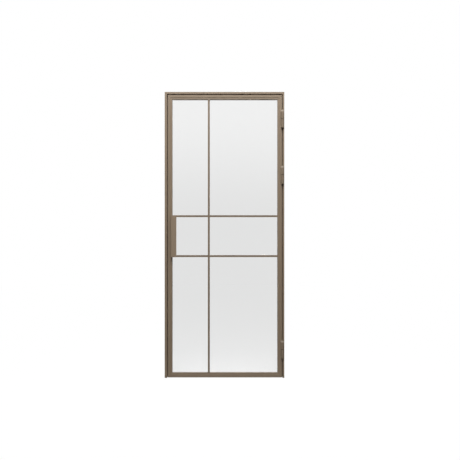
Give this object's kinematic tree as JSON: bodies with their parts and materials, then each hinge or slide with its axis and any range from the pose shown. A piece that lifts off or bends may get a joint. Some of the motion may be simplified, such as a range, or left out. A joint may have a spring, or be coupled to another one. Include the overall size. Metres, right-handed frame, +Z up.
{
  "type": "glazed steel door",
  "caption": "Slim glazed steel door leaf with glazing bars and an angle pull handle, hung on lift-off barrel hinges in its rebated steel frame.",
  "frame": {"origin": "on the floor, midway between the outer faces of the jambs, in the middle of the leaf's thickness", "axes": "+X towards the hinge side, +Y from the pull side to the back, +Z up"},
  "size_m": [0.98, 0.12, 2.342],
  "materials": {
    "frame_paint": "satin grey-brown paint",
    "leaf_paint": "satin grey-brown paint",
    "bar_paint": "satin grey-brown paint",
    "bead_paint": "satin grey-brown paint",
    "handle_paint": "satin grey-brown paint",
    "hinge_paint": "satin grey-brown paint",
    "glass": "clear",
    "glazing_tape": "matt",
    "seal_rubber": "matt",
    "plug_plastic": "matt",
    "block_plastic": "matt",
    "washer_brass": "turned",
    "bright_steel": "ground",
    "zinc_steel": "zinc plated"
  },
  "bodies": {
    "frame": {"frame_head": "frame_paint", "head_seal": "seal_rubber", "hinge_jamb": "frame_paint", "hinge_jamb_plugs": "plug_plastic", "hinge_seal": "seal_rubber", "lock_jamb": "frame_paint", "lock_jamb_plugs": "plug_plastic", "lock_seal": "seal_rubber", "lower_hinge_frame_knuckle": "hinge_paint", "lower_hinge_pin": "bright_steel", "lower_hinge_washer": "washer_brass", "middle_hinge_frame_knuckle": "hinge_paint", "middle_hinge_pin": "bright_steel", "middle_hinge_washer": "washer_brass", "strike_plate": "zinc_steel", "strike_screws": "zinc_steel", "upper_hinge_frame_knuckle": "hinge_paint", "upper_hinge_pin": "bright_steel", "upper_hinge_washer": "washer_brass"},
    "leaf": {"back_handle": "handle_paint", "bottom_rail": "leaf_paint", "catch_faceplate": "zinc_steel", "catch_housing": "zinc_steel", "catch_screws": "zinc_steel", "catch_spring": "bright_steel", "front_handle": "handle_paint", "hinge_stile": "leaf_paint", "lock_stile": "leaf_paint", "lower_hinge_leaf_knuckle": "hinge_paint", "lower_left_bar": "bar_paint", "lower_left_beads": "bead_paint", "lower_left_pane": "glass", "lower_left_tapes": "glazing_tape", "lower_right_bar": "bar_paint", "lower_right_beads": "bead_paint", "lower_right_pane": "glass", "lower_right_tapes": "glazing_tape", "middle_hinge_leaf_knuckle": "hinge_paint", "middle_left_beads": "bead_paint", "middle_left_pane": "glass", "middle_left_tapes": "glazing_tape", "middle_right_beads": "bead_paint", "middle_right_pane": "glass", "middle_right_tapes": "glazing_tape", "setting_blocks": "block_plastic", "top_rail": "leaf_paint", "upper_hinge_leaf_knuckle": "hinge_paint", "upper_left_bar": "bar_paint", "upper_left_beads": "bead_paint", "upper_left_pane": "glass", "upper_left_tapes": "glazing_tape", "upper_right_bar": "bar_paint", "upper_right_beads": "bead_paint", "upper_right_pane": "glass", "upper_right_tapes": "glazing_tape", "upright_bar": "bar_paint"},
    "catch_plunger": {"catch_plunger": "bright_steel"}
  },
  "joints": [
    {"name": "leaf_swing", "type": "hinge", "parent": "frame", "child": "leaf", "pos_m": [0.47325, -0.033, 1.1605], "axis": [0, 0, 1], "range_deg": [0, 170]},
    {"name": "catch_press", "type": "slide", "parent": "leaf", "child": "catch_plunger", "axis": [0, 0, -1], "range_m": [0, 0.005], "stiffness_N_per_m": 1500, "springref_m": -0.002, "deforming": ["catch_spring"]}
  ]
}
